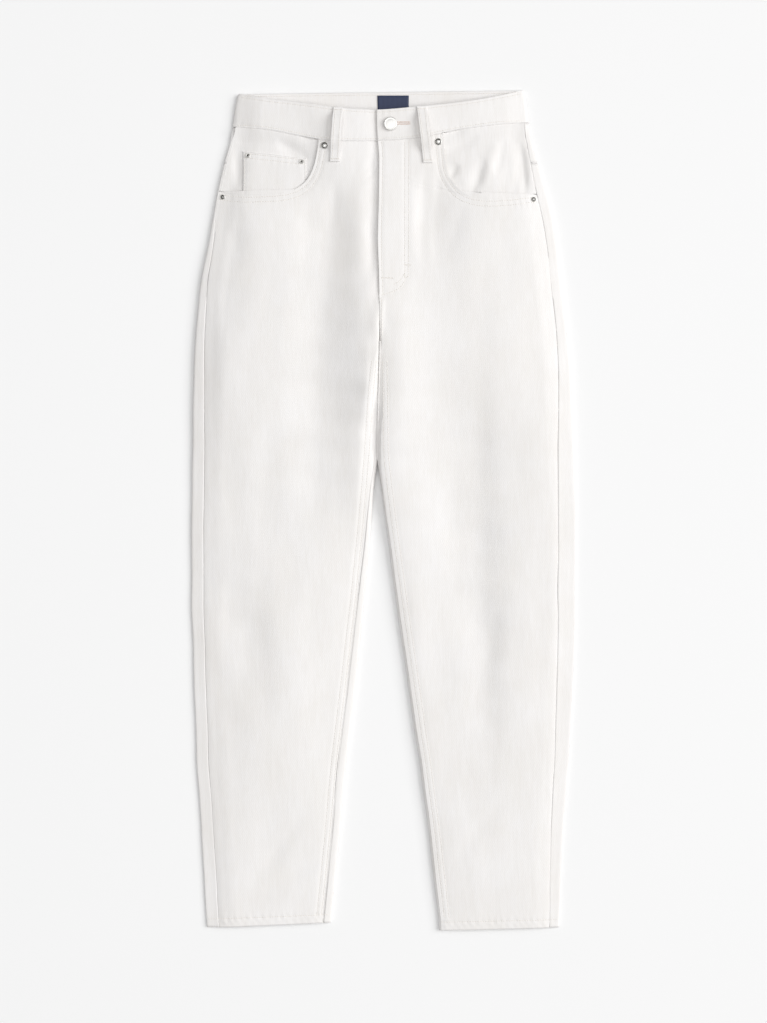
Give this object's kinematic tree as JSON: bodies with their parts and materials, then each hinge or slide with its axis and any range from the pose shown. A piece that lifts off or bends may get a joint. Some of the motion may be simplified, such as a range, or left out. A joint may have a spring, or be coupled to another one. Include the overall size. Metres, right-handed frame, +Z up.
{
  "type": "mom jeans",
  "caption": "Off-white denim mom jeans with a very high waist and tapered legs, laid flat on their back, buttoned, with open waist and leg hollows.",
  "frame": {"origin": "on the surface that the garment lies on, under the middle of its outline", "axes": "+Y from the hems to the waist, +Z up out of the front of the garment, +X to the wearer's left"},
  "size_m": [0.4741, 1.0397, 0.027],
  "materials": {
    "denim": "off-white cotton denim, garment washed, matte",
    "facing_denim": "the same off-white denim, pressed, matte",
    "zip_tape": "woven tape, matte",
    "tab_ribbon": "navy woven ribbon, slight sheen",
    "nickel": "matte nickel plating"
  },
  "bodies": {
    "root": {"front_right": "denim", "back_right": "denim", "yoke_right": "denim", "pocket_facing_right": "facing_denim", "back_pocket_right": "denim", "front_left": "denim", "back_left": "denim", "yoke_left": "denim", "pocket_facing_left": "facing_denim", "back_pocket_left": "denim", "coin_pocket": "denim", "waistband": "denim", "belt_loop_front_right": "denim", "belt_loop_front_left": "denim", "belt_loop_side_right": "denim", "belt_loop_back": "denim", "belt_loop_side_left": "denim", "zip": "zip_tape", "button": "nickel", "rivet_pocket_right": "nickel", "rivet_pocket_left": "nickel", "rivet_side_right": "nickel", "rivet_side_left": "nickel", "rivet_coin_outer": "nickel", "rivet_coin_inner": "nickel", "waist_tab": "tab_ribbon"}
  },
  "joints": []
}
